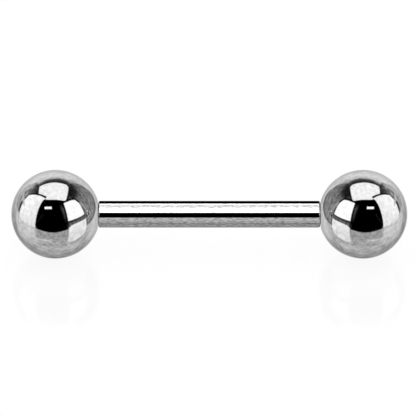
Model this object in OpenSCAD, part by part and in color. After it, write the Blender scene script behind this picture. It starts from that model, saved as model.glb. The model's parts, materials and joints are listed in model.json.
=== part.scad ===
// Straight barbell: a round bar with a ball screwed onto the threaded post at each end.
// The bar lies along X with its middle at the origin. The balls are its feet: they touch
// a flat surface at half a ball's diameter below the bar's axis.

/* [Bar] */
// Diameter of the bar (1.2 mm is 16 gauge)
bar_d = 1.2; // [1.2:0.1:1.6]
// Length of the bar between its two shoulders
bar_length = 10; // [6:1:38]
// Radius of the rounded edge at each shoulder
shoulder_r = 0.1; // [0.05:0.01:0.12]

/* [Balls] */
// Diameter of each ball
ball_d = 4; // [4:0.5:8]
// How far the flat seat round the hole reaches past the bar's side
seat_margin = 0.02; // [0.01:0.01:0.05]

/* [Thread] */
// Mean diameter of the M1 thread on each post, which is drawn as a plain shaft
post_d = 0.84; // [0.7:0.02:0.86]
// Length of the post beyond the shoulder
post_length = 2.2; // [1.5:0.1:2.2]
// Width of the chamfer at the post's tip
tip_chamfer = 0.1; // [0.05:0.01:0.15]
// Radial clearance of the post in the ball's hole
thread_clearance = 0.02; // [0.01:0.01:0.04]
// Room between the post's tip and the end of the hole's full diameter
tip_room = 0.3; // [0.1:0.05:0.3]
// Angle of the cone that a drill leaves at the end of the hole
drill_point = 118; // [90:2:140]
// Gap between the bar's shoulder and the ball's seat
seat_gap = 0.01; // [0.01:0.01:0.03]

/* [Hidden] */
$fn = 96;
bar_r = bar_d / 2;
ball_r = ball_d / 2;
post_r = post_d / 2;
hole_r = post_r + thread_clearance;
hole_depth = post_length + tip_room;
drill_point_h = hole_r / tan(drill_point / 2);
seat_r = bar_r + seat_margin;
// The seat's distance from the ball's centre
seat_h = sqrt(ball_r * ball_r - seat_r * seat_r);
shoulder_x = bar_length / 2;
ball_x = shoulder_x + seat_gap + seat_h;
// Colours of the polished steel
bar_grey = [0.80, 0.80, 0.80];
ball_grey = [0.86, 0.86, 0.86];

// Half of the bar's outline from its middle to one tip: radius along x, length along y
module half_bar_outline() {
    tip = shoulder_x + post_length;
    square([bar_r, shoulder_x - shoulder_r]);
    square([bar_r - shoulder_r, shoulder_x]);
    translate([bar_r - shoulder_r, shoulder_x - shoulder_r])
        intersection() {
            circle(r = shoulder_r);
            square(shoulder_r);
        }
    polygon([[0, 0], [post_r, 0], [post_r, tip - tip_chamfer], [post_r - tip_chamfer, tip], [0, tip]]);
}

// One solid, turned from a single rod: the bar, its two rounded shoulders and its two posts
module bar() {
    color(bar_grey)
        rotate([0, 90, 0])
            rotate_extrude() {
                half_bar_outline();
                mirror([0, 1]) half_bar_outline();
            }
}

// Half of a ball's outline, with its centre at the origin and its hole opening upwards
module ball_outline() {
    hole_end = seat_h - hole_depth;
    difference() {
        intersection() {
            circle(r = ball_r);
            translate([0, -ball_r]) square([ball_r, ball_r + seat_h]);
        }
        translate([0, hole_end]) square([hole_r, ball_d]);
        polygon([[0, hole_end - drill_point_h], [hole_r, hole_end], [0, hole_end]]);
    }
}

// A ball at its place on the right end, with the flat seat and the hole facing the bar
module ball() {
    color(ball_grey)
        translate([ball_x, 0, 0])
            rotate([0, -90, 0])
                rotate_extrude() ball_outline();
}

module ball_right() {
    ball();
}

module ball_left() {
    mirror([1, 0, 0]) ball();
}

bar();
ball_left();
ball_right();
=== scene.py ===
import json
import math
from collections import namedtuple

import bpy
import numpy as np
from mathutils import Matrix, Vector
from mathutils.noise import fractal


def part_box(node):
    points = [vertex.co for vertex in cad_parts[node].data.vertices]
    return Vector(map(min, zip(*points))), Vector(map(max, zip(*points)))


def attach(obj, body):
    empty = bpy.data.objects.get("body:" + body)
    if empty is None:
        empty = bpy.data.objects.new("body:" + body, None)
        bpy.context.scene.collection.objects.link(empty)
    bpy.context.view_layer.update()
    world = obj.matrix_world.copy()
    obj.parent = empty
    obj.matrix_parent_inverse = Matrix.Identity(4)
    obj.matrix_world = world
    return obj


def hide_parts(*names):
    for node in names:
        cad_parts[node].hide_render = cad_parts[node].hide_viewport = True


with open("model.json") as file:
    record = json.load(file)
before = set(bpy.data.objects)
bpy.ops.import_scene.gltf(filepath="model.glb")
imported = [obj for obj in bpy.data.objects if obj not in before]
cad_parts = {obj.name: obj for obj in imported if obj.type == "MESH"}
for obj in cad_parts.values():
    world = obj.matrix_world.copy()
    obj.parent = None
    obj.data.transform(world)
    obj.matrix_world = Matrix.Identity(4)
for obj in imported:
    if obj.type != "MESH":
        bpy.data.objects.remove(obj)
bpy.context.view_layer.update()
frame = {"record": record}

MM = 0.001

# Sizes from the frame. The balls and the bar share the X axis.
ball_low, ball_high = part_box("ball_right")
BAR_R = frame["record"]["mounts"][0]["dims"]["r_mm"] * MM
SEAT_MARGIN = 0.02 * MM
SEAT_R = BAR_R + SEAT_MARGIN
TIP_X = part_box("bar")[1].x
SEAT_X = ball_low.x
BALL_LENGTH = ball_high.x - SEAT_X
BALL_R = (BALL_LENGTH ** 2 + SEAT_R ** 2) / (2 * BALL_LENGTH)
BALL_X = ball_high.x - BALL_R
FLOOR_Z = -BALL_R

# Turned details, too fine for the frame. Faces that meet at more than SHARP_ANGLE have a sharp edge.
SEAT_GAP = 0.01 * MM
SHOULDER_X = SEAT_X - SEAT_GAP
SHOULDER_R = 0.1 * MM
SEAT_BREAK = 0.03 * MM
SHARP_ANGLE = math.radians(35)
SEGMENTS = 144
SEGMENT_ANGLES = np.arange(SEGMENTS) * 2 * math.pi / SEGMENTS
BALL_STEPS = 120
ROUND_STEPS = 10
BAR_STEPS = 40

# The thread on the posts and in the balls: M1, with a pitch of 0.25 mm. THREAD_FLATS above 1 leaves flats
# at its crest and root. The hole is HOLE_SPARE deeper than the post, and its last PLAIN_END isn't threaded.
PITCH = 0.25 * MM
THREAD_MEAN_R = 0.42 * MM
THREAD_DEPTH = 0.13 * MM
THREAD_FLATS = 1.4
THREAD_STEPS = 14
RING_STEP = PITCH / THREAD_STEPS
THREAD_CLEARANCE = 0.02 * MM
POST_CORE_R = THREAD_MEAN_R - THREAD_DEPTH / 2
RELIEF_LENGTH = 0.08 * MM
HOLE_CORE_R = POST_CORE_R + THREAD_CLEARANCE
COUNTERSINK_R = 0.56 * MM
HOLE_SPARE = 0.3 * MM
PLAIN_END = 0.1 * MM
HOLE_END = TIP_X + HOLE_SPARE
THREAD_END = HOLE_END - PLAIN_END
DRILL_POINT = math.radians(118)


def thread_radius(x, angle):
    """Radius of the right-hand thread on the right post, at a distance along X and an angle round it."""
    turns = (x - SHOULDER_X) / PITCH - angle / (2 * math.pi)
    # From -1 in the middle of the root to 1 in the middle of the crest
    wave = np.abs(turns % 1 - 0.5) * 4 - 1
    return THREAD_MEAN_R + THREAD_DEPTH / 2 * np.clip(wave * THREAD_FLATS, -1, 1)


def post_radius(x, angle):
    """The thread between the relief groove at the shoulder and the chamfer at the tip."""
    from_relief = POST_CORE_R + np.maximum(x - SHOULDER_X - RELIEF_LENGTH, 0)
    to_tip = POST_CORE_R + (TIP_X - x)
    return np.minimum(thread_radius(x, angle), np.minimum(from_relief, to_tip))


def hole_radius(x, angle):
    """The ball's thread between the countersink at its mouth and the plain end of the drilled hole."""
    to_plain_end = HOLE_CORE_R + np.maximum(THREAD_END - x, 0)
    cut = np.minimum(thread_radius(x, angle) + THREAD_CLEARANCE, to_plain_end)
    return np.maximum(cut, COUNTERSINK_R - (x - SEAT_X))


def steps_between(start, end, longest):
    """Evenly spaced places from start to end, both included."""
    count = max(2, math.ceil(abs(end - start) / longest) + 1)
    return np.linspace(start, end, count)


def add_object(name, data):
    made = bpy.data.objects.new(name, data)
    bpy.context.scene.collection.objects.link(made)
    return made


def add_mesh(name, points, faces):
    mesh = bpy.data.meshes.new(name)
    mesh.from_pydata(points, [], faces)
    return add_object(name, mesh)


def store(piece, name, values):
    """Stores a number for each point of the piece's mesh, for its material to read."""
    stored = piece.data.attributes.new(name, "FLOAT", "POINT")
    stored.data.foreach_set("value", values.astype(np.float32))


def turned(name, rings):
    """A closed piece turned about X. A ring is a place along X and its radius, or a radius for each
    segment, and the first and last ring are points on the axis."""
    points = [(rings[0][0], 0, 0)]
    for x, radius in rings[1:-1]:
        radius = np.broadcast_to(radius, SEGMENTS)
        across = radius * np.cos(SEGMENT_ANGLES)
        up = radius * np.sin(SEGMENT_ANGLES)
        points.extend(zip(np.full(SEGMENTS, x), across, up))
    points.append((rings[-1][0], 0, 0))
    neighbours = [(a, (a + 1) % SEGMENTS) for a in range(SEGMENTS)]
    last = len(points) - 1
    faces = [(0, 1 + b, 1 + a) for a, b in neighbours]
    for ring in range(len(rings) - 3):
        near = 1 + ring * SEGMENTS
        far = near + SEGMENTS
        faces.extend((near + a, near + b, far + b, far + a) for a, b in neighbours)
    rim = last - SEGMENTS
    faces.extend((last, rim + a, rim + b) for a, b in neighbours)
    piece = add_mesh(name, np.array(points).tolist(), faces)
    piece.data.shade_smooth()
    piece.data.set_sharp_from_angle(angle=SHARP_ANGLE)
    return piece


def bar_half_rings():
    """The right half of the bar as rings, from its middle to the tip of its post."""
    side_end = SHOULDER_X - SHOULDER_R
    rings = [(x, BAR_R) for x in np.linspace(0, side_end, BAR_STEPS)]
    for turn in np.linspace(0, math.pi / 2, ROUND_STEPS)[1:]:
        rings.append((side_end + SHOULDER_R * math.sin(turn), BAR_R - SHOULDER_R * (1 - math.cos(turn))))
    for x in steps_between(SHOULDER_X, TIP_X, RING_STEP):
        rings.append((x, post_radius(x, SEGMENT_ANGLES)))
    rings.append((TIP_X, 0))
    return rings


def turned_bar():
    """The bar, its rounded shoulders and its two threaded posts. The left end is the right end turned half
    round the Z axis, so both threads are right-handed."""
    right = bar_half_rings()
    mirrored_segment = (SEGMENTS // 2 - np.arange(SEGMENTS)) % SEGMENTS
    left = [(-x, r[mirrored_segment] if np.ndim(r) else r) for x, r in right[:0:-1]]
    return turned("turned_bar", left + right)


def mark_grooves(bar):
    """Stores how deep each point lies in a post's thread, from 0 at the crest and on the rest of the bar to
    1 at the root. The steel's material darkens its colour by this depth, as painted shade in the grooves."""
    places = np.array([point.co for point in bar.data.vertices])
    along = np.abs(places[:, 0])
    radius = np.hypot(places[:, 1], places[:, 2])
    depth = np.interp(radius, [POST_CORE_R, POST_CORE_R + THREAD_DEPTH], [1, 0])
    # The flat faces at the two ends of a post aren't in its thread
    depth[(along < SHOULDER_X + RING_STEP / 2) | (along > TIP_X - RING_STEP / 2)] = 0
    store(bar, "groove_shade_mask", depth)


def screw_ball(name, half_turns):
    """A ball with its seat, countersink and threaded hole, made on the bar's right end. One half turn round
    the Z axis takes it to the left end."""
    point_length = HOLE_CORE_R / math.tan(DRILL_POINT / 2)
    rings = [(HOLE_END + point_length, 0), (HOLE_END, HOLE_CORE_R)]
    for x in steps_between(THREAD_END, SEAT_X, RING_STEP):
        rings.append((x, hole_radius(x, SEGMENT_ANGLES)))
    rings.append((SEAT_X, SEAT_R - SEAT_BREAK))
    first = math.pi - math.asin((SEAT_R + SEAT_BREAK) / BALL_R)
    for turn in np.linspace(first, 0, BALL_STEPS):
        rings.append((BALL_X + BALL_R * math.cos(turn), BALL_R * math.sin(turn)))
    ball = turned(name, rings)
    ball.rotation_euler.z = half_turns * math.pi
    return ball


def node(tree, kind, **values):
    """A shader node with values for its properties or inputs by name."""
    made = tree.nodes.new(kind)
    for name, value in values.items():
        if name in made.bl_rna.properties:
            setattr(made, name, value)
        else:
            made.inputs[name.replace("_", " ")].default_value = value
    return made


def new_material(name):
    material = bpy.data.materials.new(name)
    material.use_nodes = True
    material.node_tree.nodes.clear()
    return material, material.node_tree


# How strong the finer layers of the noise are, and the values that it mostly lies between
NOISE_ROUGHNESS = 0.55
NOISE_LOW = 0.3
NOISE_HIGH = 0.7


def noise(tree, size, stretch=(1, 1, 1), detail=3):
    """Noise whose features are about size metres across, stretched along the piece's own axes."""
    place = node(tree, "ShaderNodeTexCoord")
    scale = node(tree, "ShaderNodeMapping", Scale=[1 / s for s in stretch])
    pattern = node(tree, "ShaderNodeTexNoise", Scale=1 / size, Detail=detail, Roughness=NOISE_ROUGHNESS)
    tree.links.new(place.outputs["Object"], scale.inputs["Vector"])
    tree.links.new(scale.outputs["Vector"], pattern.inputs["Vector"])
    return pattern.outputs["Fac"]


def between(tree, value, low, high):
    """The values that noise mostly has, spread over low to high."""
    spread = node(tree, "ShaderNodeMapRange", From_Min=NOISE_LOW, From_Max=NOISE_HIGH,
                  To_Min=low, To_Max=high)
    tree.links.new(value, spread.inputs["Value"])
    return spread.outputs["Result"]


# Share of the light that the polished steel gives back, and what is left of that at a grazing angle
STEEL = 0.6
STEEL_EDGE = 0.7
# Smudges vary the steel's roughness, and ripples left by polishing dent it
SMUDGE_SIZE = 0.9 * MM
SMUDGE_ROUGHNESS = (0.02, 0.06)
RIPPLE_SIZE = 0.36 * MM
RIPPLE_DEPTH = 0.001 * MM
RIPPLE_STRENGTH = 0.3
# The haze's patches and how much light they add or take away. The bar's are drawn out along it.
BAR_HAZE_SIZE = 0.05 * MM
BAR_HAZE_DEPTH = 0.3
BAR_GRAIN = (4, 1, 1)
BALL_HAZE_SIZE = 0.16 * MM
BALL_HAZE_DEPTH = 0.06
BALL_GRAIN = (1, 1, 1)
# Painted shade in a thread: the share of the steel's colour left at the bottom of a groove
PAINTED_GROOVE_SHADE = 0.2


def polished_steel(name, haze_size, haze_depth, grain):
    """Mirror-polished steel of a neutral colour, with smudges, with haze and ripples left by polishing, and
    with painted shade that darkens its colour towards the bottom of a thread's grooves.
    grain says how far the haze and the ripples are drawn out along each axis."""
    material, tree = new_material(name)
    edge = (STEEL_EDGE, STEEL_EDGE, STEEL_EDGE, 1)
    steel = node(tree, "ShaderNodeBsdfPrincipled", Metallic=1.0, Specular_Tint=edge)
    output = node(tree, "ShaderNodeOutputMaterial")
    haze = between(tree, noise(tree, haze_size, grain, detail=4), STEEL - haze_depth, STEEL + haze_depth)
    # Painted shade: the colour darkens towards the root of a post's thread, where shade would fall
    groove_shade_mask = node(tree, "ShaderNodeAttribute", attribute_name="groove_shade_mask")
    light = node(tree, "ShaderNodeMapRange", To_Min=1.0, To_Max=PAINTED_GROOVE_SHADE)
    colour = node(tree, "ShaderNodeMath", operation="MULTIPLY")
    tree.links.new(groove_shade_mask.outputs["Fac"], light.inputs["Value"])
    tree.links.new(haze, colour.inputs[0])
    tree.links.new(light.outputs["Result"], colour.inputs[1])
    tree.links.new(colour.outputs["Value"], steel.inputs["Base Color"])
    smudge = noise(tree, SMUDGE_SIZE)
    tree.links.new(between(tree, smudge, *SMUDGE_ROUGHNESS), steel.inputs["Roughness"])
    ripples = noise(tree, RIPPLE_SIZE, grain, detail=2)
    bump = node(tree, "ShaderNodeBump", Strength=RIPPLE_STRENGTH, Distance=RIPPLE_DEPTH)
    tree.links.new(ripples, bump.inputs["Height"])
    tree.links.new(bump.outputs["Normal"], steel.inputs["Normal"])
    tree.links.new(steel.outputs["BSDF"], output.inputs["Surface"])
    return material


# What a ball sees round it, as cards laid one over another. Azimuth is in degrees from the camera's side,
# positive towards the bar, and elevation is from the horizon up. soft is the width of a card's edge in
# degrees, and shades says how light the card looks in the steel at some elevations, from 0 for black to 1
# for white. Every outline is convex, so a card with a notch is made as two.
Card = namedtuple("Card", "name soft shades corners")
BALL_STUDIO = [
    Card("table_beside_bar", 8, [(-40, 0.78), (-15, 0.8)],
         [(98, -16), (144, -12), (150, -38), (108, -46)]),
    Card("table_beyond", 12, [(-55, 0.62), (-35, 0.61), (-20, 0.65), (-10, 0.7)],
         [(-112, -8), (-150, -8), (-155, -60), (-112, -60)]),
    Card("backdrop_shade", 8, [(15, 0.76), (27, 0.71), (35, 0.64)],
         [(141, 15), (141, 46), (157, 44), (156, 13)]),
    Card("side_wall_edge", 3, [(-15, 0.42), (5, 0.45), (15, 0.54), (33, 0.52), (40, 0.36), (50, 0.1)],
         [(84, -20), (86, 64), (145, 47), (146, 33), (142.5, -6), (135, -12.5), (94, -19.5)]),
    Card("side_wall", 3,
         [(-15, 0.51), (5, 0.49), (15, 0.49), (25, 0.45), (35, 0.37), (42, 0.28), (50, 0.12)],
         [(86, -15), (86, 64), (141, 50), (142, 33), (138, -3), (131, -8), (92, -15.5)]),
    Card("corner_wall", 6,
         [(-10, 0.62), (10, 0.6), (20, 0.56), (30, 0.42), (38, 0.29), (45, 0.19), (50, 0.12)],
         [(-100, -10), (-128, -8), (-130, 40), (-100, 55)]),
    Card("corner_post", 4, [(-5, 0.66), (14, 0.68), (24, 0.72), (30, 0.56), (36, 0.38), (42, 0.2)],
         [(-129, -8), (-142, -6), (-146, 30), (-138, 42), (-129, 44)]),
    Card("corner_crack", 3, [(0, 0.52), (28, 0.43)],
         [(-124.5, -8), (-123.5, 34), (-131, 34), (-129, -6)]),
    Card("side_wall_trim", 2, [(0, 0.54), (30, 0.58)], [(91, 0), (88, 31), (94, 31), (95, 0)]),
    Card("overhead_gap", 10, [(50, 0.19)],
         [(-70, 54), (0, 60), (62, 54), (134, 44.5), (156, 42.5), (-150, 43.5), (-133, 41), (-112, 46)]),
    Card("wall_shadow", 12, [(45, 0.1)], [(60, 66), (85, 47), (116, 41), (132, 48), (114, 64)]),
    Card("corner_shadow", 6, [(45, 0.1)], [(-98, 56), (-108, 48), (-131, 43.5), (-134, 50), (-112, 58)]),
    Card("softbox_frame", 2, [(50, 0.04)],
         [(-97, 52), (-57, 58), (0, 65), (54, 54), (131, 52.5), (143, 52.3), (154, 54.2),
          (-132.5, 45.8)]),
    Card("overhead_softbox", 2, [(60, 0.93), (90, 0.96)],
         [(-97.5, 52.4), (-57, 59.5), (0, 66.5), (43, 60), (54, 56.7), (131, 55.3), (143, 54.9),
          (152, 56.7), (180, 59.5), (-132.5, 47.1)]),
    Card("outer_card_rail", 2, [(30, 0)],
         [(-57, 61), (-61, 67), (-100.5, 51.4), (-115, 30), (-114, 19), (-70, 18)]),
    Card("outer_card_side", 1.5, [(-5, 0.4), (3, 0.2), (12, 0.18)],
         [(-113, -6), (-116.5, 12), (-100, 12), (-100, -6)]),
    Card("outer_card", 2, [(-13, 0.89), (0, 0.93), (10, 0.96), (22, 0.97), (60, 0.95)],
         [(-49, -12.5), (-51, 19), (-57, 62.2), (-80, 58.3), (-95, 50.7), (-113, 29), (-108.5, 7),
          (-104, -13)]),
    Card("outer_card_shade", 24, [(-13, 0.84), (0, 0.88), (20, 0.92)],
         [(-40, -3), (-40, 45), (-80, 45), (-80, -3)]),
    Card("dark_room", 2, [(0, 0)],
         [(-47, -13.5), (-6, -18.2), (32.5, -12), (47, 60), (-5, 70), (-59.8, 60), (-57.3, 48),
          (-51.7, 20)]),
    Card("dark_room_corner", 1.5, [(0, 0)], [(-50.4, -13.8), (-42, -15), (-42, 24), (-51.6, 22)]),
    Card("softbox_front", 2, [(60, 0.95), (90, 0.96)],
         [(-52, 59.8), (-30.8, 64.9), (-7.6, 67.5), (14, 66.8), (38.8, 61.4), (51, 57.6), (80, 80),
          (-80, 80)]),
    Card("dark_room_door", 6, [(12, 0.12), (22, 0.25), (42, 0.3), (50, 0.1)],
         [(18, 52), (30, 52), (29.5, 8), (26, 8)]),
    Card("dark_room_shelf", 4, [(5, 0.08)], [(-46, 2), (-38, 24), (-33, 24), (-44, 2)]),
    Card("window", 1.5, [(40, 1)], [(-35.2, 38.7), (-39.4, 43.7), (-13.4, 49), (-11.3, 42.3)]),
    Card("inner_card_shadow", 2, [(50, 0)], [(35, 50), (38, 59), (60, 57), (84, 51), (90, 30)]),
    Card("corner_clip", 1.5, [(10, 0.69)],
         [(-137, 7.5), (-131, 13.5), (-112, 16.5), (-98, 12.8), (-99.5, 11)]),
    Card("outer_card_on_table", 8, [(-50, 0.71), (-35, 0.76), (-15, 0.79)],
         [(-50, -12), (-56, -54), (-119, -44), (-117, -10)]),
    Card("inner_card_rail", 2, [(0, 0.32)], [(83.5, 22), (88, 20), (87, -3), (82, -3)]),
    Card("inner_card", 2, [(0, 1.0)],
         [(33.5, 6.5), (34.7, 41), (37, 54.1), (72, 49.2), (82.8, 43), (84.9, 37), (82.3, 3)]),
    Card("inner_card_base", 2, [(0, 0.1)], [(28.5, -11), (29, 2), (40, 2), (40, -11)]),
    Card("inner_card_foot", 2, [(0, 0.17)], [(32, -7), (33, 8), (84.5, 4.5), (84, -6)]),
    Card("inner_card_ledge", 2, [(0, 0.36)], [(36, -6), (36, 3), (60, 3.2), (84.5, 2), (84.5, -6)]),
    Card("table_round_card", 10, [(-60, 0.72)], [(40, -54), (55, -70), (105, -66), (92, -50)]),
    Card("inner_card_on_table", 2.5, [(-25, 0.87), (-9, 0.92), (-5, 0.96)],
         [(33.3, -9), (34.6, -30), (37.5, -50), (56, -48), (86, -31.5), (83.5, -5), (58, -3.3),
          (42, -4.5)]),
    Card("table_glint", 4, [(-40, 0.77)], [(-55, -37), (-55, -41.5), (-12, -44.5), (-12, -38.5)]),
    Card("table_near_glint", 4, [(-60, 0.74)], [(-82, -50), (-82, -55), (-38, -67), (-34, -61)]),
]
# How light a ball shows, by elevation, the table towards the camera, and the table and the backdrop behind
TABLE_IN_FRONT = [
    (-90, 0.65), (-76, 0.69), (-69, 0.71), (-62, 0.66), (-57, 0.62), (-50, 0.65), (-38, 0.6), (0, 0.6),
]
BACKDROP_BEHIND = [
    (-90, 0.65), (-65, 0.56), (-50, 0.64), (-38, 0.75), (0, 0.8), (22, 0.86), (31, 0.82), (36, 0.77),
    (40, 0.7), (45, 0.6), (49, 0.44), (53, 0.26),
]

# What the bar sees, by elevation from the horizon on the camera's side, over the top and down behind. Each
# pair is an elevation in degrees and how light the steel looks there, and above 1 is brighter than white.
BAR_STUDIO = [
    (-150, 0.55), (-89, 0.58), (-73, 0.55), (-61, 0.48), (-49, 0.59), (-38, 0.61), (-28, 0.67),
    (-18, 0.66), (-1.5, 0.7), (3, 0.0), (43, 0.0), (44, 1.3), (84, 1.3), (88, 0.93), (100, 0.9),
    (104, 0.85), (116, 0.83), (121, 1.3), (132.5, 1.3), (134.5, 0.0), (208, 0.0), (210, 0.55),
]

# How uneven the balls' studio looks, as a share of its lightness, for some lightnesses. It is noise with
# MOTTLE_SCALE features to a globe's radius, and MOTTLE_LAYERS layers, each MOTTLE_FINER times as fine as
# the last and weaker by that to the power MOTTLE_FALLOFF.
MOTTLE = [(0.3, 0.28), (0.5, 0.28), (0.63, 0.17), (0.68, 0.11), (0.8, 0.1), (0.93, 0.06), (1, 0.05)]
MOTTLE_SCALE = 9
MOTTLE_LAYERS = 3
MOTTLE_FINER = 2.0
MOTTLE_FALLOFF = 1.0

# The radius of the globe round each ball, round the bar and round the table, and the steps from a globe's
# bottom to its top
BALL_DOME_R = 200 * MM
BAR_DOME_R = 220 * MM
TABLE_DOME_R = 240 * MM
DOME_STEPS = 180


def linear(shade):
    """The light that shows as this share of white in the picture, by the sRGB curve."""
    shade = np.asarray(shade, float)
    return np.where(shade > 0.04045, ((shade + 0.055) / 1.055) ** 2.4, shade / 12.92)


def direction(azimuth, elevation):
    a, e = math.radians(azimuth), math.radians(elevation)
    return np.array([math.cos(e) * math.sin(a), -math.cos(e) * math.cos(a), math.sin(e)])


def inside(directions, corners, soft):
    """How far a card covers each direction: 0 outside its outline, a half on it and 1 inside it. The
    outline joins the corners by straight edges."""
    points = [direction(a, e) for a, e in corners]
    middle = np.sum(points, axis=0)
    share = np.ones(len(directions))
    for start, end in zip(points, points[1:] + points[:1]):
        edge = np.cross(start, end)
        edge *= np.sign(edge @ middle) / np.linalg.norm(edge)
        share = np.minimum(share, np.clip(directions @ edge / math.radians(soft) + 0.5, 0, 1))
    return share


def mottled(directions, shade):
    """The shades made uneven, as walls, cards and a table are."""
    places = [Vector(d * MOTTLE_SCALE) for d in directions]
    uneven = np.array([fractal(place, MOTTLE_FALLOFF, MOTTLE_FINER, MOTTLE_LAYERS) for place in places])
    return shade * (1 + uneven * np.interp(shade, *zip(*MOTTLE)))


def ball_surroundings(directions):
    """The light that comes to the left ball, whose bar is towards +X, from each direction."""
    elevation = np.degrees(np.arcsin(directions[:, 2]))
    # From 0 in front to 1 behind, and half of each at the side
    behind = np.clip(0.5 + directions[:, 1], 0, 1)
    shade = np.interp(elevation, *zip(*TABLE_IN_FRONT)) * (1 - behind)
    shade += np.interp(elevation, *zip(*BACKDROP_BEHIND)) * behind
    for card in BALL_STUDIO:
        cover = inside(directions, card.corners, card.soft)
        shade += (np.interp(elevation, *zip(*card.shades)) - shade) * cover
    return linear(mottled(directions, shade))


def bar_surroundings(directions):
    """The light that comes to the bar from each direction."""
    elevation = np.degrees(np.arctan2(directions[:, 2], -directions[:, 1]))
    # The list goes on past 180 degrees, to where it starts
    first = BAR_STUDIO[0][0]
    elevation = np.where(elevation < first, elevation + 360, elevation)
    return linear(np.interp(elevation, *zip(*BAR_STUDIO)))


def dome_points():
    """A globe's points as directions, in rings from below to above, with the faces between them."""
    across = DOME_STEPS * 2
    points = []
    for e in np.linspace(-90, 90, DOME_STEPS + 1):
        points.extend(direction(a, e) for a in np.arange(across) * 360 / across)
    faces = []
    for ring in range(DOME_STEPS):
        for a in range(across):
            near, beside = ring * across + a, ring * across + (a + 1) % across
            faces.append((near, beside, beside + across, near + across))
    return np.array(points), faces


def glow_material():
    """Shines with the brightness stored in the mesh and lets other light through."""
    material, tree = new_material("studio_glow")
    glow = node(tree, "ShaderNodeAttribute", attribute_name="glow")
    shine = node(tree, "ShaderNodeEmission")
    clear = node(tree, "ShaderNodeBsdfTransparent")
    both = node(tree, "ShaderNodeAddShader")
    output = node(tree, "ShaderNodeOutputMaterial")
    tree.links.new(glow.outputs["Fac"], shine.inputs["Strength"])
    tree.links.new(shine.outputs["Emission"], both.inputs[0])
    tree.links.new(clear.outputs["BSDF"], both.inputs[1])
    tree.links.new(both.outputs["Shader"], output.inputs["Surface"])
    material.cycles.emission_sampling = "NONE"
    return material


def dome(lit, x, radius, points, light, material, mirrored=False):
    """A studio round one object: a globe that only this object's reflections show."""
    directions, faces = points
    name = lit.name + "_studio"
    globe = add_mesh(name, (directions * radius).tolist(), faces)
    store(globe, "glow", light)
    globe.data.materials.append(material)
    globe.location.x = x
    globe.scale.x = -1 if mirrored else 1
    globe.visible_camera = False
    globe.visible_diffuse = False
    globe.visible_transmission = False
    globe.visible_shadow = False
    receivers = bpy.data.collections.new(name + "_receivers")
    receivers.objects.link(lit)
    globe.light_linking.receiver_collection = receivers


def build_domes(bar, ball_left, ball_right, table_top):
    """A studio for each object. The right ball's is the left ball's mirrored, so its bar is towards -X."""
    points = dome_points()
    directions = points[0]
    glow = glow_material()
    ball_light = ball_surroundings(directions) / STEEL
    bar_light = bar_surroundings(directions) / STEEL
    dome(ball_left, -BALL_X, BALL_DOME_R, points, ball_light, glow)
    dome(ball_right, BALL_X, BALL_DOME_R, points, ball_light, glow, mirrored=True)
    dome(bar, 0, BAR_DOME_R, points, bar_light, glow)
    dome(table_top, 0, TABLE_DOME_R, points, np.ones(len(directions)), glow)


# The table's light: the share that shadows take away, the share that is even, and the share that mirrors
TABLE_MATT = 0.08
TABLE_EVEN = 0.94
TABLE_SHEEN = 0.05
SHEEN_ROUGHNESS = 0.1
TABLE_HALF = 350 * MM


def table_material():
    """A white table with a faint sheen: mostly its own even white, so that shadows on it stay faint."""
    material, tree = new_material("white_table")
    matt = node(tree, "ShaderNodeBsdfDiffuse", Color=(TABLE_MATT, TABLE_MATT, TABLE_MATT, 1))
    even = node(tree, "ShaderNodeEmission", Strength=TABLE_EVEN)
    white = node(tree, "ShaderNodeAddShader")
    sheen = node(tree, "ShaderNodeBsdfGlossy", Roughness=SHEEN_ROUGHNESS)
    mix = node(tree, "ShaderNodeMixShader", Fac=TABLE_SHEEN)
    output = node(tree, "ShaderNodeOutputMaterial")
    tree.links.new(matt.outputs["BSDF"], white.inputs[0])
    tree.links.new(even.outputs["Emission"], white.inputs[1])
    tree.links.new(white.outputs["Shader"], mix.inputs[1])
    tree.links.new(sheen.outputs["BSDF"], mix.inputs[2])
    tree.links.new(mix.outputs["Shader"], output.inputs["Surface"])
    return material


def build_table():
    """A plain table that the balls touch and that doesn't show in them, since their studios show it."""
    square = ((-1, -1), (1, -1), (1, 1), (-1, 1))
    corners = [(x * TABLE_HALF, y * TABLE_HALF, FLOOR_Z) for x, y in square]
    top = add_mesh("table", corners, [(0, 1, 2, 3)])
    top.data.materials.append(table_material())
    top.visible_glossy = False
    return top


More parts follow.
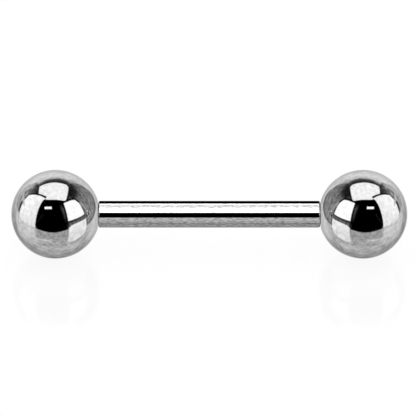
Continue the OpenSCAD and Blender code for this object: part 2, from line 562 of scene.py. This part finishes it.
def white_world():
    """Even white all round, which lights the table but doesn't show in reflections."""
    world = bpy.data.worlds.new("studio")
    bpy.context.scene.world = world
    world.use_nodes = True
    world.node_tree.nodes["Background"].inputs["Color"].default_value = (1, 1, 1, 1)
    world.node_tree.nodes["Background"].inputs["Strength"].default_value = 1.0
    world.cycles_visibility.glossy = False
    bpy.context.scene.view_settings.view_transform = "Standard"


# The camera looks at the barbell from the front, from 30 degrees above. The picture is PIXELS wide and
# high, and the barbell's middle lies MIDDLE_RIGHT pixels right of the picture's middle and MIDDLE_BELOW
# below it.
PIXELS = 416
PIXELS_PER_MM = 22.23
MIDDLE_RIGHT = 1.3
MIDDLE_BELOW = 6.25
CAMERA_ELEVATION = math.radians(30)
CAMERA_DISTANCE = 300 * MM
SENSOR = 36


def camera():
    data = bpy.data.cameras.new("camera")
    data.sensor_width = SENSOR
    data.lens = SENSOR * CAMERA_DISTANCE / (PIXELS / PIXELS_PER_MM * MM)
    seen = add_object("camera", data)
    back = Vector((0, -math.cos(CAMERA_ELEVATION), math.sin(CAMERA_ELEVATION)))
    up = Vector((0, math.sin(CAMERA_ELEVATION), math.cos(CAMERA_ELEVATION)))
    right = Vector((1, 0, 0))
    target = (up * MIDDLE_BELOW - right * MIDDLE_RIGHT) / PIXELS_PER_MM * MM
    seen.location = target + back * CAMERA_DISTANCE
    seen.rotation_mode = "QUATERNION"
    seen.rotation_quaternion = (-back).to_track_quat("-Z", "Y")
    bpy.context.scene.camera = seen


def build_bar():
    bar = turned_bar()
    mark_grooves(bar)
    bar.data.materials.append(polished_steel("bar_steel", BAR_HAZE_SIZE, BAR_HAZE_DEPTH, BAR_GRAIN))
    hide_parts("bar")
    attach(bar, "bar")
    # The photo's balls don't show the bar
    bar.visible_glossy = False
    return bar


def build_ball(body, half_turns, steel):
    ball = screw_ball("screw_" + body, half_turns)
    ball.data.materials.append(steel)
    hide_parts(body)
    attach(ball, body)
    return ball


bar = build_bar()
ball_steel = polished_steel("ball_steel", BALL_HAZE_SIZE, BALL_HAZE_DEPTH, BALL_GRAIN)
ball_left = build_ball("ball_left", 1, ball_steel)
ball_right = build_ball("ball_right", 0, ball_steel)
build_domes(bar, ball_left, ball_right, build_table())
white_world()
camera()
